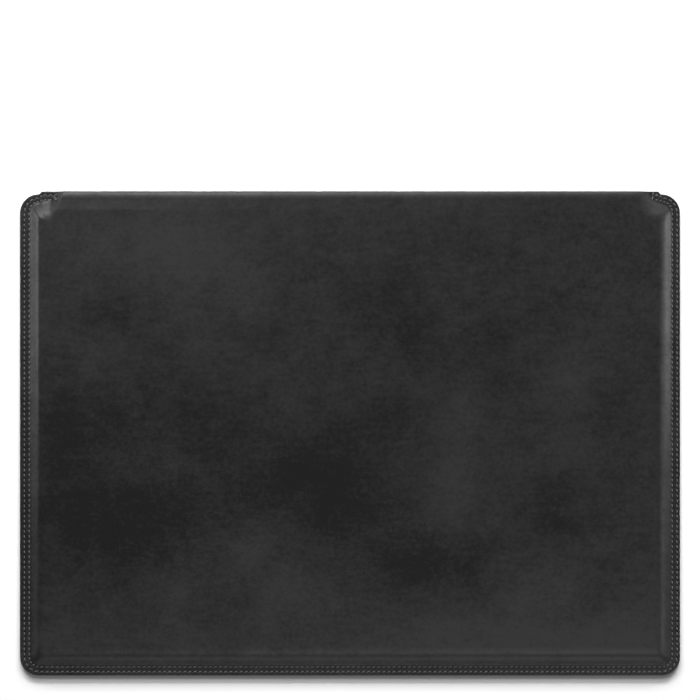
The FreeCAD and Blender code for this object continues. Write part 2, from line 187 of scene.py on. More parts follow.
# How widely the stretches of the shoulder blend where they meet.
CORNER_BLEND = 0.7
LEFT_BACK_BLEND = 0.5
TURN_BLEND = 0.9

# The foot of the shoulder round each back corner, clear of the stitches: from the side, along below the
# inner row, and past the tack out to the mouth, in mm. The runs are of its two stretches.
LEFT_TURN = ((-291, 208.0), (-269.5, 210.9), (-265.5, 220))
RIGHT_TURN = ((292, 205.0), (274.0, 210.6), (271.5, 220))
LEFT_TURN_RUNS = (8.5 * MM, 3.2 * MM)
RIGHT_TURN_RUNS = (9.0 * MM, 8.0 * MM)

# The slope down to the rolled edge, which is lowest at its left end, and the nose that ends it.
SLOPE_START = MOUTH_Y - 17 * MM
SLOPE_END = MOUTH_Y - 7.6 * MM
SLOPE_BEND = 0.14
ROLL_TOP = FOAM_HIGH.z + 0.4 * MM
ROLL_RISE = 0.45 * MM
ROLL_RISE_FROM, ROLL_RISE_TO = -240 * MM, -120 * MM
NOSE_TIP = 7.05 * MM
NOSE_POWER = 1.9

# The gathered leather of the two back corners: how much thicker it is, and where that fades in and out.
FOLD_EXTRA = 0.9 * MM
FOLD_Y = (203 * MM, 209 * MM)
FOLD_X = (279 * MM, 283 * MM)

# Slow waves in the panel: height, length and seed.
WAVES = ((0.13 * MM, 95 * MM, 3.1), (0.05 * MM, 31 * MM, 8.4))


def inside_of(xy, start, end, side):
    """Distance of each place from a line, positive towards the middle of the mat."""
    start, end = np.array(start) * MM, np.array(end) * MM
    along = (end - start) / np.linalg.norm(end - start)
    past = (xy[:, 0] - start[0]) * along[1] - (xy[:, 1] - start[1]) * along[0]
    return -side * past


def shoulder(xy):
    """How far the leather has risen from the border, 0, to the panel, 1."""
    x, y = xy[:, 0], xy[:, 1]
    on_right = smooth(-SIDES_MEET, SIDES_MEET, x)

    def either(left, right):
        return left + (right - left) * on_right

    run = either(LEFT_RUN, RIGHT_RUN)
    side = (HALF_WIDTH - np.abs(x) - either(LEFT_FOOT, RIGHT_FOOT)) / run
    front = (y - FRONT_Y - FRONT_FOOT) / FRONT_RUN
    turns = []
    for (start, corner, end), (below_run, beside_run), hand in (
        (LEFT_TURN, LEFT_TURN_RUNS, -1), (RIGHT_TURN, RIGHT_TURN_RUNS, 1)
    ):
        below = inside_of(xy, start, corner, hand) / below_run
        beside = inside_of(xy, corner, end, hand) / beside_run
        turns.append(-soft_least(-below, -beside, TURN_BLEND))
    back = np.where(x > 0, turns[1], turns[0])
    crest = either(LEFT_CREST, RIGHT_CREST)
    crest += (FRONT_CREST - crest) * smooth(0.5, -0.5, front - side)
    crest += (TURN_CREST - crest) * smooth(0.6, -0.2, back - np.minimum(front, side))
    rise = soft_least(side, front, CORNER_BLEND)
    rise = soft_least(rise, back, either(LEFT_BACK_BLEND, CORNER_BLEND))
    above_foot = -soft_least(-rise, 0 * rise, FOOT_ROUND)
    return np.clip(soft_least(above_foot, 1 + 0 * rise, crest), 0, 1)


def roof(x, y):
    """Height of the panel's top: level, then down to the rolled edge and over it."""
    roll_top = ROLL_TOP + ROLL_RISE * smooth(ROLL_RISE_FROM, ROLL_RISE_TO, x)
    along = (y - SLOPE_START) / (SLOPE_END - SLOPE_START)
    along = soft_least(-soft_least(-along, 0 * along, SLOPE_BEND), 1 + 0 * along, SLOPE_BEND)
    over = np.clip((y - SLOPE_END) / (MOUTH_Y - SLOPE_END), 0, 1)
    nose = (roll_top - NOSE_TIP) * (1 - np.sqrt(1 - over ** NOSE_POWER))
    return CROWN + (roll_top - CROWN) * along - nose


def leather_height(xy):
    """Height of the leather's upper face, before the stitches pull it down."""
    x, y = xy[:, 0], xy[:, 1]
    rise = shoulder(xy)
    fold = FOLD_EXTRA * smooth(*FOLD_Y, y) * (1 - smooth(*FOLD_X, np.abs(x)))
    wave = sum(height * ripple(xy, length, seed) for height, length, seed in WAVES)
    return BORDER_TOP + (roof(x, y) - BORDER_TOP) * rise + fold * (1 - rise) + wave * rise


def sewn_pull(inset, depth, width, hole_depth, hole_width):
    """How far the two rows pull a face in at one inset, for every column: a furrow, and pits at holes."""
    near_end = 1 - smooth(-1, 3, PAST_TACK)
    at_hole = (FROM_FRONT % PER_STITCH == 0) * (PAST_TACK <= 0)
    pull = np.zeros(COLUMNS)
    for row in (OUTER_ROW, INNER_ROW):
        pull += depth * math.exp(-(((inset - row) / width) ** 2)) * near_end
        pull += hole_depth * math.exp(-(((inset - row) / hole_width) ** 2)) * at_hole
    return pull


# ---- mesh tools ----


def new_piece(name, verts, faces, material):
    """A smooth-shaded mesh object that rides on the mat's one body."""
    mesh = bpy.data.meshes.new(name)
    mesh.from_pydata([tuple(v) for v in verts], [], faces)
    mesh.validate()
    mesh.materials.append(material)
    mesh.polygons.foreach_set("use_smooth", [True] * len(mesh.polygons))
    mesh.update()
    piece = bpy.data.objects.new(name, mesh)
    bpy.context.scene.collection.objects.link(piece)
    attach(piece, "root")
    return piece


def add_values(mesh, name, values):
    """A named value at each vertex, for a material to read."""
    mesh.attributes.new(name, "FLOAT", "POINT").data.foreach_set("value", values)


def band_faces(first, second, count):
    """Quads between two closed rings of vertices, given by their first indices."""
    here = np.arange(count)
    there = (here + 1) % count
    return np.column_stack([first + here, first + there, second + there, second + here]).tolist()


def triangles_over(points, border_count):
    """The plan's points and triangles, for points that start with a closed border."""
    edges = [(k, (k + 1) % border_count) for k in range(border_count)]
    verts, _, faces, *_ = geometry.delaunay_2d_cdt([Vector(p) for p in points], edges, [], 1, 1e-7)
    return np.array([tuple(v) for v in verts]), [list(f) for f in faces]


def fill_plan(border, spacing):
    """Triangles inside a closed line, with a coarser and coarser net of points inwards."""
    points = [tuple(p) for p in border]
    low, high = border.min(0), border.max(0)
    for inset, every in ((3 * MM, 2), (7 * MM, 4)):
        shrink = 1 - inset / ((high - low) / 2)
        points += [tuple(p) for p in border[::every] * shrink]
    start = 12 * MM
    columns = int((high[0] - low[0] - 2 * start) / spacing)
    rows = int((high[1] - low[1] - 2 * start) / spacing)
    xs = np.linspace(low[0] + start, high[0] - start, columns)
    ys = np.linspace(low[1] + start, high[1] - start, rows)
    points += [(x, y) for x in xs for y in ys]
    return triangles_over(points, len(border))


def sewn_sheet(name, rings, inner_top, inner_under, spacing, materials):
    """A closed sheet: rings from the top's inside round the edge to the underside, and both faces filled."""
    count = len(rings[0])
    verts = [tuple(p) for loop in rings for p in loop]
    faces = []
    for k in range(len(rings) - 1):
        faces += band_faces((k + 1) * count, k * count, count)
    plan, triangles = fill_plan(rings[0][:, :2], spacing)
    last = (len(rings) - 1) * count
    inner = plan[count:]
    top_start = len(verts)
    verts += np.column_stack([inner, inner_top(inner)]).tolist()
    under_start = len(verts)
    verts += np.column_stack([inner, inner_under(inner)]).tolist()
    for triangle in triangles:
        faces.append([k if k < count else top_start + k - count for k in triangle])
        faces.append([last + k if k < count else under_start + k - count for k in reversed(triangle)])
    piece = new_piece(name, verts, faces, materials[0])
    for extra in materials[1:]:
        piece.data.materials.append(extra)
    return piece


# ---- materials ----


class Surface:
    """A Principled material, with short calls for the nodes that feed it."""

    def __init__(self, name, **settings):
        self.material = bpy.data.materials.new(name)
        self.material.use_nodes = True
        self.tree = self.material.node_tree
        self.shader = self.tree.nodes["Principled BSDF"]
        for socket, value in settings.items():
            self.shader.inputs[socket.replace("_", " ")].default_value = value
        self.place = self.tree.nodes.new("ShaderNodeTexCoord").outputs["Object"]

    def node(self, kind, inputs=(), **settings):
        made = self.tree.nodes.new(kind)
        for key, value in settings.items():
            setattr(made, key, value)
        for key, value in dict(inputs).items():
            if isinstance(value, bpy.types.NodeSocket):
                self.tree.links.new(value, made.inputs[key])
            else:
                made.inputs[key].default_value = value
        return made

    def clouds(self, scale, detail=3.0, rough=0.5, distort=0.0, place=None):
        inputs = {
            "Vector": place or self.place,
            "Scale": scale,
            "Detail": detail,
            "Roughness": rough,
            "Distortion": distort,
        }
        return self.node("ShaderNodeTexNoise", inputs).outputs["Fac"]

    def cells(self, scale, feature="F1"):
        inputs = {"Vector": self.place, "Scale": scale}
        return self.node("ShaderNodeTexVoronoi", inputs, feature=feature).outputs["Distance"]

    def math(self, operation, a, b=0.0):
        return self.node("ShaderNodeMath", {0: a, 1: b}, operation=operation).outputs[0]

    def between(self, value, low, high, to_low, to_high):
        inputs = {"Value": value, "From Min": low, "From Max": high, "To Min": to_low, "To Max": to_high}
        return self.node("ShaderNodeMapRange", inputs).outputs["Result"]

    def mixed(self, share, first, second):
        made = self.node("ShaderNodeMix", {0: share, 6: first, 7: second}, data_type="RGBA")
        return made.outputs[2]

    def stretched(self, x, y, z, turn=0.0):
        inputs = {"Vector": self.place, "Scale": (x, y, z), "Rotation": (0, 0, turn)}
        return self.node("ShaderNodeMapping", inputs).outputs["Vector"]

    def attribute(self, name):
        return self.node("ShaderNodeAttribute", attribute_name=name).outputs["Fac"]

    def bump(self, height, strength, distance, under=None):
        inputs = {"Height": height, "Strength": strength, "Distance": distance}
        if under:
            inputs["Normal"] = under
        return self.node("ShaderNodeBump", inputs).outputs["Normal"]

    def feed(self, **sockets):
        for socket, value in sockets.items():
            self.tree.links.new(value, self.shader.inputs[socket.replace("_", " ")])


def rgb(level, warm=0.0):
    """A near-grey colour, linear, warmer for positive values of warm."""
    return (level * (1 + warm), level, level * (1 - warm), 1)


def leather_material():
    """Black full-grain leather: marbled dye with some painted light carried in the tone, fine pebble grain,
    faint creases.
    """
    s = Surface("leather_black", Specular_IOR_Level=0.32)
    dye_and_light = s.attribute("tone")
    broad = s.clouds(16, 7, 0.62, 0.5)
    middle = s.clouds(62, 6, 0.66, 0.3)
    small = s.clouds(270, 4, 0.7)
    fibres = s.clouds(1.0, 4, 0.6, 0.3, s.stretched(55, 260, 55, 0.85))
    for cloud, reach in ((broad, 0.34), (middle, 0.40), (small, 0.66), (fibres, 0.30)):
        dye_and_light = s.math("ADD", dye_and_light, s.between(cloud, 0.3, 0.7, -reach, reach))
    share = s.between(dye_and_light, -1.1, 1.1, 0, 1)
    colour = s.mixed(share, rgb(0.0008, -0.02), rgb(0.0235, 0.0))
    normal = s.bump(s.cells(260, "DISTANCE_TO_EDGE"), 0.08, 0.0002)
    normal = s.bump(s.cells(850), 0.15, 0.00012, normal)
    # Painted shade: the leather turns near black round each needle hole, standing in for the shade inside the
    # hole; the holes are also rougher.
    painted_shade_at_hole = s.attribute("painted_hole_shade")
    colour = s.mixed(painted_shade_at_hole, colour, rgb(0.0005))
    rough = s.math("ADD", s.between(dye_and_light, -1.1, 1.1, 0.48, 0.38), s.math("MULTIPLY", painted_shade_at_hole, 0.4))
    s.feed(Base_Color=colour, Roughness=rough, Normal=normal)
    return s.material


def edge_material():
    """Burnished cut edge of the hide: nearly black with a hint of brown, with lengthwise fibres."""
    s = Surface("leather_cut_edge", Specular_IOR_Level=0.3)
    fibres = s.clouds(90, 4, 0.6, 0.0, s.stretched(1, 1, 14))
    colour = s.mixed(fibres, rgb(0.008, 0.05), rgb(0.034, 0.16))
    s.feed(
        Base_Color=colour,
        Roughness=s.between(fibres, 0.2, 0.8, 0.5, 0.75),
        Normal=s.bump(fibres, 0.4, 0.0003),
    )
    return s.material


def suede_material():
    """Napped charcoal suede."""
    s = Surface("suede_charcoal", Specular_IOR_Level=0.15, Sheen_Weight=0.35, Sheen_Roughness=0.5)
    nap = s.clouds(1400, 4, 0.7)
    brushed = s.clouds(26, 4, 0.6, 0.6, s.stretched(1, 0.35, 1, 0.3))
    colour = s.mixed(s.between(brushed, 0.3, 0.7, 0, 1), rgb(0.018, 0.02), rgb(0.045, 0.04))
    colour = s.mixed(s.between(nap, 0.3, 0.7, 0, 0.5), colour, rgb(0.012, 0.02))
    s.feed(
        Base_Color=colour,
        Roughness=s.between(brushed, 0.3, 0.7, 0.85, 0.98),
        Normal=s.bump(nap, 0.5, 0.0003),
    )
    return s.material


def lining_material():
    """Plain-woven black lining cloth."""
    s = Surface("lining_weave", Specular_IOR_Level=0.25, Sheen_Weight=0.15)
    yarns = {"Vector": s.place, "Scale": 430.0, "Distortion": 0.4}
    warp, weft = (s.node("ShaderNodeTexWave", yarns, bands_direction=way).outputs["Fac"] for way in "XY")
    weave = s.math("MAXIMUM", warp, weft)
    slub = s.clouds(160, 3, 0.6)
    colour = s.mixed(s.between(s.math("MULTIPLY", weave, slub), 0, 0.8, 0, 1), rgb(0.008), rgb(0.05))
    s.feed(
        Base_Color=colour,
        Roughness=s.between(slub, 0.3, 0.7, 0.6, 0.8),
        Normal=s.bump(weave, 0.5, 0.00015),
    )
    return s.material


def thread_material(name, dark, light):
    """Waxed twisted thread."""
    s = Surface(name, Specular_IOR_Level=0.45, Sheen_Weight=0.1)
    fibres = s.clouds(2600, 3, 0.6)
    soiled = s.clouds(60, 3, 0.5)
    colour = s.mixed(s.between(fibres, 0.3, 0.7, 0, 1), rgb(dark), rgb(light))
    colour = s.mixed(s.between(soiled, 0.35, 0.75, 0, 0.45), colour, rgb(dark))
    s.feed(
        Base_Color=colour,
        Roughness=s.between(fibres, 0.3, 0.7, 0.42, 0.62),
        Normal=s.bump(fibres, 0.35, 0.0001),
    )
    return s.material


def board_material():
    """Dense grey-brown board with specks."""
    s = Surface("board_grey", Specular_IOR_Level=0.2)
    pulp = s.clouds(900, 5, 0.7)
    flow = s.clouds(40, 3, 0.5, 0.0, s.stretched(1, 4, 1))
    colour = s.mixed(s.between(pulp, 0.35, 0.65, 0, 1), rgb(0.16, 0.1), rgb(0.34, 0.12))
    colour = s.mixed(s.between(flow, 0.3, 0.7, 0, 0.3), colour, rgb(0.22, 0.15))
    s.feed(
        Base_Color=colour,
        Roughness=s.between(pulp, 0.3, 0.7, 0.8, 0.95),
        Normal=s.bump(pulp, 0.3, 0.0002),
    )
    return s.material


def foam_material():
    """Fine-celled grey foam."""
    s = Surface("foam_grey", Specular_IOR_Level=0.2, Subsurface_Weight=0.1)
    cells = s.cells(1100)
    dust = s.clouds(50, 4, 0.5)
    colour = s.mixed(s.between(cells, 0, 0.6, 0, 1), rgb(0.10), rgb(0.20))
    colour = s.mixed(s.between(dust, 0.3, 0.7, 0, 0.35), colour, rgb(0.16, 0.05))
    s.feed(
        Base_Color=colour,
        Roughness=s.between(dust, 0.3, 0.7, 0.85, 0.95),
        Normal=s.bump(cells, 0.7, 0.0004),
    )
    return s.material


def floor_material():
    """Plain pale studio floor."""
    s = Surface("studio_floor", Specular_IOR_Level=0.0)
    haze = s.clouds(2, 2, 0.5)
    s.feed(Base_Color=s.mixed(haze, rgb(0.80), rgb(0.82)), Roughness=s.between(haze, 0, 1, 0.9, 0.95))
    return s.material


LEATHER_SKIN = leather_material()
CUT_EDGE = edge_material()
SUEDE = suede_material()
LINING_CLOTH = lining_material()
NEEDLE_THREAD = thread_material("thread_grey", 0.044, 0.155)
BOBBIN_THREAD = thread_material("thread_charcoal", 0.03, 0.10)
BOARD = board_material()
FOAM = foam_material()

# ---- top leather ----

# Insets of the rings of the upper face, from the panel out to the edge, closest round the two rows.
TOP_INSETS_MM = (
    20, 19, 18.3, 17.6, 17, 16.6, 16.1, 15.4, 14.4, 13.2, 12, 11.2, 10.5, 9.9, 9.4, 9.0, 8.6, 8.3,
    8.05, 7.8, 7.55, 7.3, 7.0, 6.5, 5.9, 5.3, 4.7, 4.3, 3.95, 3.65, 3.4, 3.15, 2.85, 2.5, 2.0, 1.5,
    1.05, 0.7, 0.42, 0.2, 0.06, 0.0,
)
EDGE_ROUND = 0.4 * MM
BACK_EDGE_ROUND = 1.0 * MM
BACK_EDGE_Y = (210 * MM, 217 * MM)

# How the rows pull the upper face in: depth and width of the furrow, then of the pit at each needle hole.
TOP_PULL = (0.16 * MM, 0.9 * MM, 0.85 * MM, 0.5 * MM)
# Width of the painted shade round each needle hole, across the row.
HOLE_SHADE = 0.6 * MM
PANEL_NET = 6 * MM
CUT_EDGE_INDEX = 1

# The underside, from the edge inwards: (inset, height) of the cut edge and of the rolled mouth, in mm.
UNDER_LINE_MM = (
    ((0.0, 1.95), (0.25, 6.95)),
    ((0.12, 1.72), (0.8, 6.62)),
    ((0.35, 1.6), (1.8, 6.5)),
    ((2.0, 1.6), (12.0, 6.5)),
    ((3.0, 1.6), (23.6, 6.52)),
    ((3.4, 1.6), (24.0, 6.75)),
    ((3.8, 1.6), (23.6, 6.98)),
    ((4.4, 1.6), (12.0, 6.98)),
    ((6.0, 1.6), (1.9, 7.05)),
    ((8.0, 1.6), (1.25, 7.3)),
    ((10.46, 1.6), (1.9, 7.6)),
    ((14.46, 5.2), (8.0, 7.65)),
    ((18.46, 8.8), (17.5, 8.75)),
    ((20.0, 8.8), (20.0, 8.8)),
)

# Lighter and darker places in the dye, in mm: x, y, radius along x, radius along y, tone. Most are the hide's
# marbling; some are painted light and shade, such as the long lighter band along the front edge, which stands
# in for the light growing brighter towards the front.
DYE_AND_LIGHT_PATCHES = (
    (-155, 168, 45, 34, 0.80), (-228, 172, 32, 26, 0.42), (-105, 140, 26, 24, 0.35),
    (-144, 84, 24, 10, 0.35), (-232, 66, 14, 12, 0.40), (193, 48, 20, 26, 0.60),
    (92, 24, 28, 24, 0.30), (95, -42, 26, 46, 0.45), (-98, -106, 32, 20, 0.50),
    (-50, -143, 36, 24, 0.62), (-152, -140, 26, 16, 0.40), (80, -180, 34, 20, 0.55),
    (172, -142, 36, 24, 0.45), (188, -190, 62, 28, 0.65), (266, -185, 36, 46, 0.65),
    (186, -22, 30, 18, 0.25), (-186, -28, 28, 12, 0.32), (-92, 114, 30, 14, 0.22),
    (-30, -195, 200, 26, 0.40), (-250, -195, 50, 26, 0.35), (262, 110, 30, 60, 0.15),
    (-236, 12, 60, 34, -0.50), (-132, 8, 38, 42, -0.50), (-217, -78, 76, 44, -0.85),
    (-262, -26, 24, 56, -0.35), (-26, -38, 54, 44, -0.80), (32, 12, 34, 24, -0.35),
    (8, -70, 40, 24, -0.45), (66, -118, 54, 24, -0.60), (116, -106, 20, 14, -0.35),
    (34, 112, 40, 34, -0.42), (60, 76, 24, 22, -0.30), (-50, 154, 18, 12, -0.25),
    (102, 174, 34, 22, -0.35), (140, 96, 24, 28, -0.40), (132, 52, 22, 18, -0.25),
    (181, -66, 34, 28, -0.55), (168, -16, 15, 8, -0.25), (-220, 106, 34, 18, -0.35),
    (-172, 85, 18, 14, -0.25), (-75, 93, 14, 14, -0.25), (240, 26, 26, 32, -0.18),
    (267, 215, 6, 6, -0.45),
)
PATCH_STRENGTH = 1.6

# What makes the patches irregular: how far they are pushed, over what length, and a seed for x and y.
PATCH_WARPS = ((11 * MM, 60 * MM, (21.0, 47.0)), (6 * MM, 22 * MM, (5.0, 9.0)))


def dye_and_light_tone(xy):
    """The broad cloudiness of the dye at each (x, y) row, with the painted light of some patches."""
    pushed = xy
    for reach, length, seeds in PATCH_WARPS:
        pushed = pushed + reach * np.column_stack([ripple(xy, length, seed) for seed in seeds])
    x, y = pushed.T / MM
    tone = np.zeros(len(xy))
    for cx, cy, rx, ry, strength in DYE_AND_LIGHT_PATCHES:
        tone += PATCH_STRENGTH * strength * np.exp(-(((x - cx) / rx) ** 2) - ((y - cy) / ry) ** 2)
    return tone


def top_rings():
    """The leather's upper face, from the panel's edge out to the edge of the hide."""
    outline = ring(0)
    cut_edge = 1 - shoulder(outline)
    edge_round = EDGE_ROUND + (BACK_EDGE_ROUND - EDGE_ROUND) * smooth(*BACK_EDGE_Y, outline[:, 1])
    rings = []
    for inset in np.array(TOP_INSETS_MM) * MM:
        xy = ring(inset)
        height = leather_height(xy) - sewn_pull(inset, *TOP_PULL)
        turn = np.clip(1 - inset / edge_round, 0, 1)
        height -= edge_round * (1 - np.sqrt(1 - turn * turn)) * cut_edge
        rings.append(np.column_stack([xy, height]))
    return rings


def under_rings():
    """The edge, the flap and the underside, from the outer edge back in under the panel."""
    outline = ring(0)
    rise = shoulder(outline) * (np.abs(outline[:, 1] - MOUTH_Y) < MM)
    depth = smooth(0.6, 1.0, rise)[:, None]
    rings = []
    for (edge_inset, edge_z), (mouth_inset, mouth_z) in UNDER_LINE_MM:
        xy = ring(edge_inset * MM) * (1 - depth) + ring(mouth_inset * MM) * depth
        height = (edge_z + (mouth_z - edge_z) * rise) * MM
        if edge_inset > EDGE_ROUND / MM:
            height = np.minimum(height, leather_height(xy) - 0.85 * LEATHER)
        rings.append(np.column_stack([xy, height]))
    return rings


def make_top_leather():
    """The hide, with its dye tone (which also carries painted light along the front), painted shade at its
    needle holes and its bare edge, which the rolled mouth hides.
    """
    piece = sewn_sheet(
        "leather_top", top_rings() + under_rings(), leather_height,
        lambda xy: np.full(len(xy), FOAM_HIGH.z), PANEL_NET, (LEATHER_SKIN, CUT_EDGE),
    )
    mesh = piece.data
    coordinates = np.empty(len(mesh.vertices) * 3)
    mesh.vertices.foreach_get("co", coordinates)
    # The tone: the dye's marbling, with painted light in a lighter band along the front edge.
    add_values(mesh, "tone", dye_and_light_tone(coordinates.reshape(-1, 3)[:, :2]))
    # Painted shade at the needle holes: a share for each vertex near a row's hole, which the material
    # darkens.
    holes = np.zeros(len(mesh.vertices))
    for k, inset in enumerate(TOP_INSETS_MM):
        near = sum(math.exp(-(((inset * MM - row) / HOLE_SHADE) ** 2)) for row in (OUTER_ROW, INNER_ROW))
        holes[k * COLUMNS : (k + 1) * COLUMNS] = near * (FROM_FRONT % PER_STITCH == 0) * (PAST_TACK <= 0)
    add_values(mesh, "painted_hole_shade", holes)
    outline = ring(0)
    bare = (np.abs(outline[:, 0]) >= HEM_HALF) | (outline[:, 1] <= 0)
    for band in range(len(TOP_INSETS_MM) - 2, len(TOP_INSETS_MM) + 2):
        for column in np.flatnonzero(bare):
            mesh.polygons[band * COLUMNS + int(column)].material_index = CUT_EDGE_INDEX
    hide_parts("top_leather")


# ---- suede base ----

SUEDE_TOP_INSETS_MM = (14, 7, 1, 0.2)
SUEDE_INSETS_MM = (14, 10, 8.9, 8.3, 7.8, 7.3, 6.7, 5.6, 4.5, 3.9, 3.4, 2.9, 2.3, 1.4, 0.7, 0.3)
SUEDE_PULL = (0.42 * MM, 0.55 * MM, 0.2 * MM, 0.4 * MM)
SUEDE_NET = 30 * MM

# The suede's rounded edge: inset in mm, and height as a share of the thickness.
SUEDE_EDGE = ((0.03, 0.85), (0.0, 0.5), (0.08, 0.2))


def make_base_panel():
    """The suede base, with its lower face drawn up along both rows."""
    back_cut = MOUTH_Y - SUEDE_HIGH.y
    thick = SUEDE_HIGH.z
    rings = []
    for inset, height in [(inset, 1) for inset in SUEDE_TOP_INSETS_MM] + list(SUEDE_EDGE):
        rings.append(np.column_stack([ring(inset * MM, back_cut), np.full(COLUMNS, height * thick)]))
    for inset in reversed(np.array(SUEDE_INSETS_MM) * MM):
        rings.append(np.column_stack([ring(inset, back_cut), sewn_pull(inset, *SUEDE_PULL)]))
    piece = sewn_sheet(
        "suede_base", rings, lambda xy: np.full(len(xy), thick), lambda xy: np.zeros(len(xy)),
        SUEDE_NET, (SUEDE,),
    )
    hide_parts("base_panel")


# ---- stitches ----

RING_SIDES = 12
STATIONS = 13
PLIES = 3
PLY_DEPTH = 0.13
TWIST = 0.9
FLATNESS = 0.86
SLANT = 0.42 * MM
STITCH_GAP = 0.21
SUEDE_FURROW = 0.36 * MM

# The cross stitches at each end of the mouth, in mm: x and y of one end, then of the other.
TACKS_MM = {
    "right": ((275.6, 219.2, 275.0, 216.2), (275.3, 215.6, 274.2, 212.2)),
    "left": ((-268.6, 215.6, -266.2, 212.6), (-274.8, 212.6, -271.6, 210.6)),
}


def twisted_stitches(name, starts, ends, up, radius, sunk, proud, material):
    """One mesh of many stitches: short twisted threads that dive into the sheet at both ends."""
    starts, ends = np.array(starts), np.array(ends)
    along = ends - starts
    length = np.linalg.norm(along, axis=1)[:, None]
    along = along / length
    upward = np.tile((0.0, 0.0, up), (len(starts), 1))
    sideways = np.cross(upward, along)
    angles = 2 * math.pi * np.arange(RING_SIDES) / RING_SIDES
    count = len(starts)
    verts = np.empty((count, STATIONS, RING_SIDES, 3))
    phase = 2.4 * np.arange(count)
    for k in range(STATIONS):
        t = k / (STATIONS - 1)
        arch = math.sin(math.pi * t) ** 0.45
        centre = starts + (ends - starts) * t + upward * (-sunk + (sunk + proud) * arch)
        girth = radius * (0.72 + 0.28 * math.sin(math.pi * t) ** 0.5)
        for j, angle in enumerate(angles):
            lobe = 1 + PLY_DEPTH * np.cos(PLIES * (angle - 2 * math.pi * TWIST * t / PLIES * 2) + phase)
            out = sideways * math.cos(angle) + upward * math.sin(angle) * FLATNESS
            verts[:, k, j] = centre + out * (girth * lobe)[:, None]
    faces = []
    for base in range(0, count * STATIONS * RING_SIDES, STATIONS * RING_SIDES):
        for k in range(STATIONS - 1):
            first = base + k * RING_SIDES
            for j in range(RING_SIDES):
                after = (j + 1) % RING_SIDES
                faces.append((first + j, first + after, first + RING_SIDES + after, first + RING_SIDES + j))
        faces.append(tuple(base + j for j in reversed(range(RING_SIDES))))
        faces.append(tuple(base + (STATIONS - 1) * RING_SIDES + j for j in range(RING_SIDES)))
    if up < 0:
        faces = [face[::-1] for face in faces]
    return new_piece(name, verts.reshape(-1, 3), faces, material)


def row_holes(inset, face_height, back_cut=0.0):
    """One row's needle holes from the left tack round to the right one: places, outward sides, heights."""
    columns = np.arange(-LEFT_TACK, RIGHT_TACK + 1, PER_STITCH)
    holes = ring(inset, back_cut)[columns]
    outward = ring(inset - 0.5 * MM, back_cut)[columns] - holes
    outward /= np.linalg.norm(outward, axis=1)[:, None]
    return holes, outward, face_height(holes)


def make_row(name, inset, face_height, up, radius, sunk, proud, material, node, back_cut=0.0):
    """A row of stitches that each start a little outwards and end a little inwards."""
    holes, outward, heights = row_holes(inset, face_height, back_cut)
    jitter = np.array([noise.noise(Vector((7.3 * k, inset / MM, up))) for k in range(len(holes))])
    lean = (SLANT * (1 + 0.6 * jitter))[:, None]
    first, last = holes + outward * lean, holes - outward * lean
    start_xy = first[:-1] * (1 - STITCH_GAP) + last[1:] * STITCH_GAP
    end_xy = first[:-1] * STITCH_GAP + last[1:] * (1 - STITCH_GAP)
    starts = np.column_stack([start_xy, heights[:-1]])
    ends = np.column_stack([end_xy, heights[1:]])
    piece = twisted_stitches(name, starts, ends, up, radius, sunk, proud, material)
    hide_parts(node)


def make_tack(name, stitches, face_height, up, radius, sunk, proud, material, node):
    """The cross stitches that close the seam at one end of the mouth."""
    places = np.array(stitches) * MM
    starts = np.column_stack([places[:, :2], face_height(places[:, :2])])
    ends = np.column_stack([places[:, 2:], face_height(places[:, 2:])])
    piece = twisted_stitches(name, starts, ends, up, radius, sunk, proud, material)
    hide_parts(node)


def make_stitches():
    """Both rows and both tacks, from above and from below."""

    def suede_face(xy):
        return np.full(len(xy), SUEDE_FURROW)

    # Side, its face, up or down, thread's radius, how deep the ends are sunk, how proud the middle stands,
    # material, and how far the sheet stops short of the mouth.
    faces = (
        ("needle", leather_height, 1, 0.56 * MM, 0.55 * MM, 0.30 * MM, NEEDLE_THREAD, 0.0),
        ("bobbin", suede_face, -1, 0.17 * MM, 0.1 * MM, 0.17 * MM, BOBBIN_THREAD, MOUTH_Y - SUEDE_HIGH.y),
    )
    for side, height, up, radius, sunk, proud, material, back_cut in faces:
        for row, inset in (("outer", OUTER_ROW), ("inner", INNER_ROW)):
            make_row(
                f"{row}_row_{side}_stitches", inset, height, up, radius, sunk, proud, material,
                f"{row}_row_{side}_thread", back_cut,
            )
        for hand, stitches in TACKS_MM.items():
            make_tack(
                f"{hand}_tack_{side}_stitches", stitches, height, up, radius, sunk, proud, material,
                f"{hand}_tack_{side}_thread",
            )


make_top_leather()
make_base_panel()
make_stitches()

# ---- linings, facing, foam and boards ----


def plan_sheet(name, border, spacing, height, thickness, material):
    """A thin sheet over a closed plan outline, with its height from a function of place."""
    points = [tuple(p) for p in border]
    low, high = border.min(0), border.max(0)
    xs = np.arange(low[0] + spacing / 2, high[0], spacing)
    ys = np.arange(low[1] + spacing / 2, high[1], spacing)
    points += [(x, y) for x in xs for y in ys]
    plan, faces = triangles_over(points, len(border))
    piece = new_piece(name, np.column_stack([plan, height(plan)]), faces, material)
    solid = piece.modifiers.new("thickness", "SOLIDIFY")
    solid.thickness = thickness
    solid.offset = -1
    return piece


def notched_outline(inset, notch_half, notch_y, back_cut, every=6):
    """The line inside the outline by an inset, with a straight-sided notch for the mouth."""
    line = ring(inset, back_cut)[::every]
    right = [p for p in line[: len(line) // 2] if p[0] > notch_half or p[1] < notch_y]
    left = [p for p in line[len(line) // 2 :] if p[0] < -notch_half or p[1] < notch_y]
    back = line[:, 1].max()
    notch = [(notch_half, back), (notch_half, notch_y), (-notch_half, notch_y), (-notch_half, back)]
    return np.vstack([right, notch, left])


LINING_INSET = 0.6 * MM
SEAM_GAP = 0.5 * MM
LINING_THICK = 0.3 * MM
CLOTH_THICK = LINING_THICK * 0.8
CLOTH_NET = 12 * MM


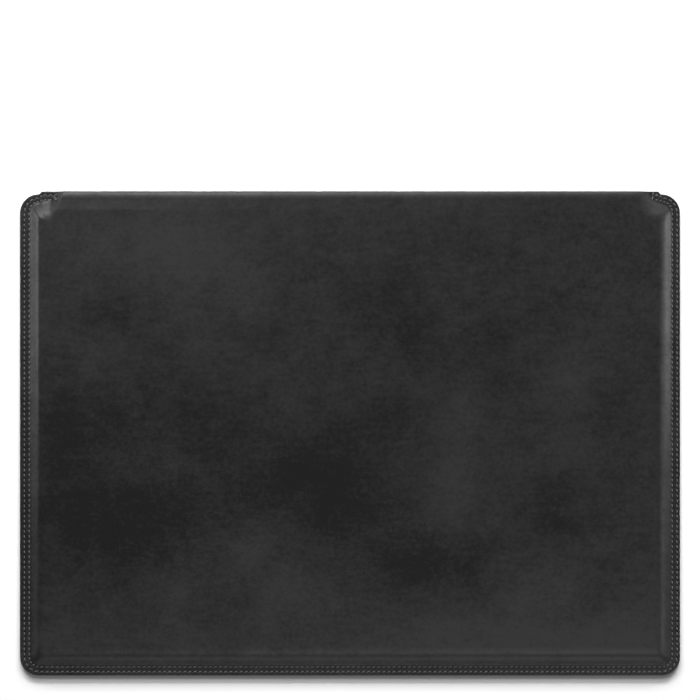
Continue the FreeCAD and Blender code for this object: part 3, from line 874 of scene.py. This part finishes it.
def make_floor_lining():
    """Cloth over the lower board: flat in the border, up over the board's edge, and level."""
    border_z, level_z = FLOOR_LOW.z + LINING_THICK, FLOOR_HIGH.z
    outline = notched_outline(
        LINING_INSET, FACING_HIGH.x + SEAM_GAP, FACING_LOW.y - SEAM_GAP, MOUTH_Y - SUEDE_HIGH.y
    )

    def height(xy):
        side = BASE_BOARD_HIGH.x - np.abs(xy[:, 0])
        front = xy[:, 1] - BASE_BOARD_LOW.y
        up = smooth(-1.2 * MM, 0.2 * MM, np.minimum(side, front))
        return border_z + (level_z - border_z) * up + 0.04 * MM * ripple(xy, 40 * MM, 5.0) * up

    piece = plan_sheet("floor_lining_cloth", outline, CLOTH_NET, height, CLOTH_THICK, LINING_CLOTH)
    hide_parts("pocket_floor_lining")


def make_ceiling_lining():
    """Cloth under the upper board, down inside the shoulder and out into the border."""
    border_z, level_z = CEILING_LOW.z + LINING_THICK, CEILING_HIGH.z
    flap_half, flap_y = BOARD_HIGH.x - 36 * MM, MOUTH_Y - 24 * MM
    outline = notched_outline(
        LINING_INSET, flap_half + SEAM_GAP, flap_y - SEAM_GAP, MOUTH_Y - SUEDE_HIGH.y
    )
    foot, run = 10.9 * MM, 5.9 * MM

    def height(xy):
        x, y = np.abs(xy[:, 0]), xy[:, 1]
        side = HALF_WIDTH - x - foot
        front = y - FRONT_Y - foot
        slant = (260 * MM + (MOUTH_Y - y) * 0.94 - x) / 1.37
        up = smooth(0, 1, np.minimum(np.minimum(side, front), slant) / run)
        return border_z + (level_z - border_z) * up

    piece = plan_sheet("ceiling_lining_cloth", outline, CLOTH_NET, height, CLOTH_THICK, LINING_CLOTH)
    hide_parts("pocket_ceiling_lining")


FACING_TONE = 0.1


def swept_strip(name, profile, half, material):
    """A strip of one rounded profile, given as (y, z) rows, from side to side of the mat."""
    profile = np.array(profile)
    count = len(profile)
    stations = np.linspace(-half, half, 61)
    verts = []
    for x in stations:
        sway = 0.06 * MM * noise.noise(Vector((x / 0.05, 2.0, 1.0)))
        verts += [(x, y + sway, z) for y, z in profile]
    faces = []
    for k in range(len(stations) - 1):
        faces += band_faces(k * count, (k + 1) * count, count)
    faces.append(list(range(count))[::-1])
    faces.append([(len(stations) - 1) * count + j for j in range(count)])
    return new_piece(name, verts, faces, material)


def make_facing():
    """Thin leather over the lower lip of the mouth, with its folded edge rounded."""
    low, high = FACING_LOW, FACING_HIGH
    board_top = BASE_BOARD_HIGH.z
    thick = high.z - board_top
    radius = 0.55 * MM
    slack = 0.02 * MM
    turn = [
        (high.y - radius + radius * math.sin(a), high.z - radius + radius * math.cos(a))
        for a in np.radians((0, 22.5, 45, 67.5, 90))
    ]
    profile = [
        (low.y, board_top + slack),
        (low.y + 0.15 * MM, board_top + thick * 0.55),
        (low.y + 1.2 * MM, high.z),
        (low.y + 9 * MM, high.z + slack),
        *turn,
        (high.y, low.z + 0.3 * MM),
        (high.y - 0.2 * MM, low.z + slack),
        (high.y - LEATHER + slack, low.z + slack),
        (high.y - LEATHER + slack, board_top + slack),
        (high.y - LEATHER - 8 * MM, board_top + slack),
    ]
    piece = swept_strip("lip_facing", profile[::-1], high.x, LEATHER_SKIN)
    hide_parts("lower_lip_facing")
    add_values(piece.data, "tone", [FACING_TONE] * len(piece.data.vertices))


# The raised panel's plan: inset of its foot, half the width of its back edge and how that shrinks with
# the inset, and the slant of its back corners.
PANEL_FOOT = 10 * MM
PANEL_MOUTH_X = 260 * MM
PANEL_DRAW = 1.5
PANEL_TURN = 0.94
PANEL_ROUND = 5 * MM
PER_SIDE = 24
PER_CORNER = 6

FOAM_BEVEL = 11.5 * MM
FOAM_BACK_BEVEL = 9.8 * MM
FOAM_NET = 40 * MM

# The foam's rings, from inside its top round to inside its underside: how far down the bevel, from 0 at
# its foot to 1 at its top, height as a share of the thickness, and a further inset.
FOAM_RINGS = (
    (1, 1, 8 * MM), (1, 1, 2 * MM), (1, 0.97, 0.5 * MM), (0.9, 0.85, 0), (0.5, 0.45, 0),
    (0.1, 0.1, 0), (0.05, 0, 0.3 * MM), (0.05, 0, 8 * MM),
)


def panel_plan(inset, back_y, radius):
    """The plan of a layer in the raised panel: its sides slant in to the mouth, and its corners are round."""
    side_x = HALF_WIDTH - inset
    mouth_x = PANEL_MOUTH_X - PANEL_DRAW * (inset - PANEL_FOOT)
    turn_y = MOUTH_Y - (side_x - mouth_x) / PANEL_TURN
    back_x = mouth_x + (MOUTH_Y - back_y) * PANEL_TURN
    right = [(side_x, FRONT_Y + inset), (side_x, turn_y), (back_x, back_y)]
    corners = [np.array(p) for p in right + [(-x, y) for x, y in reversed(right)]]
    points = []
    for k, corner in enumerate(corners):
        before, after = corners[k - 1], corners[(k + 1) % len(corners)]
        start = corner + radius * (before - corner) / np.linalg.norm(before - corner)
        end = corner + radius * (after - corner) / np.linalg.norm(after - corner)
        t = np.linspace(0, 1, PER_CORNER)[:, None]
        points.append(start * (1 - t) ** 2 + 2 * corner * t * (1 - t) + end * t * t)
        far = after + radius * (corner - after) / np.linalg.norm(after - corner)
        t = np.linspace(0, 1, PER_SIDE)[1:-1, None]
        points.append(end * (1 - t) + far * t)
    return np.vstack(points)


def make_foam():
    """The foam, with flat faces, bevelled edges and the frame's own plan."""
    low, high = FOAM_LOW.z, FOAM_HIGH.z
    wide = HALF_WIDTH - FOAM_HIGH.x

    def loop(share, height, more):
        back_y = FOAM_HIGH.y - FOAM_BACK_BEVEL * share - more
        xy = panel_plan(wide + FOAM_BEVEL * share + more, back_y, PANEL_ROUND)
        return np.column_stack([xy, np.full(len(xy), low + (high - low) * height)])

    piece = sewn_sheet(
        "foam_layer", [loop(*numbers) for numbers in FOAM_RINGS], lambda xy: np.full(len(xy), high),
        lambda xy: np.full(len(xy), low), FOAM_NET, (FOAM,),
    )
    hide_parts("foam_pad")


make_floor_lining()
make_ceiling_lining()
make_facing()
make_foam()
for node in ("base_board", "top_board"):
    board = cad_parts[node]
    board.data.materials.clear()
    board.data.materials.append(BOARD)

# ---- floor, light and camera ----

PLAN_CENTRE_Y = 75.9 * MM
VIEW_WIDTH = 636.3 * MM
LENS_MM = 135.0
SENSOR_MM = 36.0
FLOOR_REACH = 6.0
FLOOR_DROP = 0.05 * MM
WORLD_STRENGTH = 0.12

# Soft boxes for the floor and for the mat: name, place, target, size and power.
FLOOR_LIGHTS = (
    ("floor_low", (0, 2.24, 0.80), (0, -0.2, 0), (3.0, 0.3), 194),
    ("floor_high", (0, 2.0, 1.45), (0, -0.2, 0), (2.6, 0.9), 50),
    ("floor_top", (0, 0, 3.0), (0, 0, 0), (3, 3), 8),
)
MAT_LIGHTS = (
    ("mat_left", (-0.9, 0.22, 0.20), (-0.29, 0.10, 0), (0.40, 0.15), 2.3),
    ("mat_right", (0.9, 0.22, 0.13), (0.29, 0.10, 0), (0.40, 0.10), 2.4),
    ("mat_right_high", (0.95, -0.1, 0.5), (0.27, -0.1, 0), (0.60, 0.20), 1.4),
    ("mat_left_back", (-0.75, 0.75, 0.40), (-0.27, 0.2, 0), (0.30, 0.15), 0.9),
    ("mat_right_back", (0.75, 0.75, 0.40), (0.27, 0.2, 0), (0.30, 0.15), 1.2),
    ("mat_back", (-0.55, 1.35, 1.45), (-0.15, 0.2, 0), (0.8, 0.4), 25),
    ("mat_back_low", (0, 1.55, 0.77), (0, 0.22, 0), (1.3, 0.1), 17),
    ("mat_front", (0.1, -1.6, 0.60), (0, -0.2, 0), (1.6, 0.5), 5.0),
    ("mat_near_top", (0.2, -0.9, 1.7), (0.1, -0.2, 0), (1.2, 0.4), 5.5),
)


def make_floor():
    """A plain floor just below the mat."""
    mesh = bpy.data.meshes.new("studio_floor")
    corners = [(x * FLOOR_REACH, y * FLOOR_REACH, 0) for x, y in ((-1, -1), (1, -1), (1, 1), (-1, 1))]
    mesh.from_pydata(corners, [], [(0, 1, 2, 3)])
    mesh.materials.append(floor_material())
    floor = bpy.data.objects.new("studio_floor", mesh)
    bpy.context.scene.collection.objects.link(floor)
    floor.location.z = -FLOOR_DROP
    floor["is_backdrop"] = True
    return floor


def group_of(name, objects):
    """A collection outside the scene, for light linking."""
    group = bpy.data.collections.new(name)
    for thing in objects:
        group.objects.link(thing)
    return group


def soft_box(name, place, target, size, power, receivers):
    """A rectangular soft light that shines only on its receivers."""
    light = bpy.data.lights.new(name, "AREA")
    light.shape = "RECTANGLE"
    light.size, light.size_y = size
    light.energy = power
    lamp = bpy.data.objects.new(name, light)
    lamp.location = place
    lamp.rotation_mode = "QUATERNION"
    lamp.rotation_quaternion = (Vector(target) - Vector(place)).to_track_quat("-Z", "Y")
    bpy.context.scene.collection.objects.link(lamp)
    lamp.light_linking.receiver_collection = receivers


def make_lights(floor):
    """The soft boxes, a faint even light from all round, and plain colour management."""
    on_floor = group_of("lit_floor", [floor])
    on_mat = group_of("lit_mat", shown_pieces())
    for receivers, lights in ((on_floor, FLOOR_LIGHTS), (on_mat, MAT_LIGHTS)):
        for light in lights:
            soft_box(*light, receivers)
    world = bpy.data.worlds.new("studio")
    world.use_nodes = True
    background = world.node_tree.nodes["Background"].inputs
    background["Color"].default_value = (1, 1, 1, 1)
    background["Strength"].default_value = WORLD_STRENGTH
    scene = bpy.context.scene
    scene.world = world
    scene.view_settings.view_transform = "Standard"
    scene.view_settings.look = "None"


def make_camera():
    """A long lens straight above, a little behind the mat's middle."""
    data = bpy.data.cameras.new("camera")
    data.lens = LENS_MM
    data.sensor_width = SENSOR_MM
    camera = bpy.data.objects.new("camera", data)
    camera.location = (0, PLAN_CENTRE_Y, BORDER_TOP + VIEW_WIDTH * LENS_MM / SENSOR_MM)
    bpy.context.scene.collection.objects.link(camera)
    bpy.context.scene.camera = camera


studio_floor = make_floor()
make_lights(studio_floor)
make_camera()
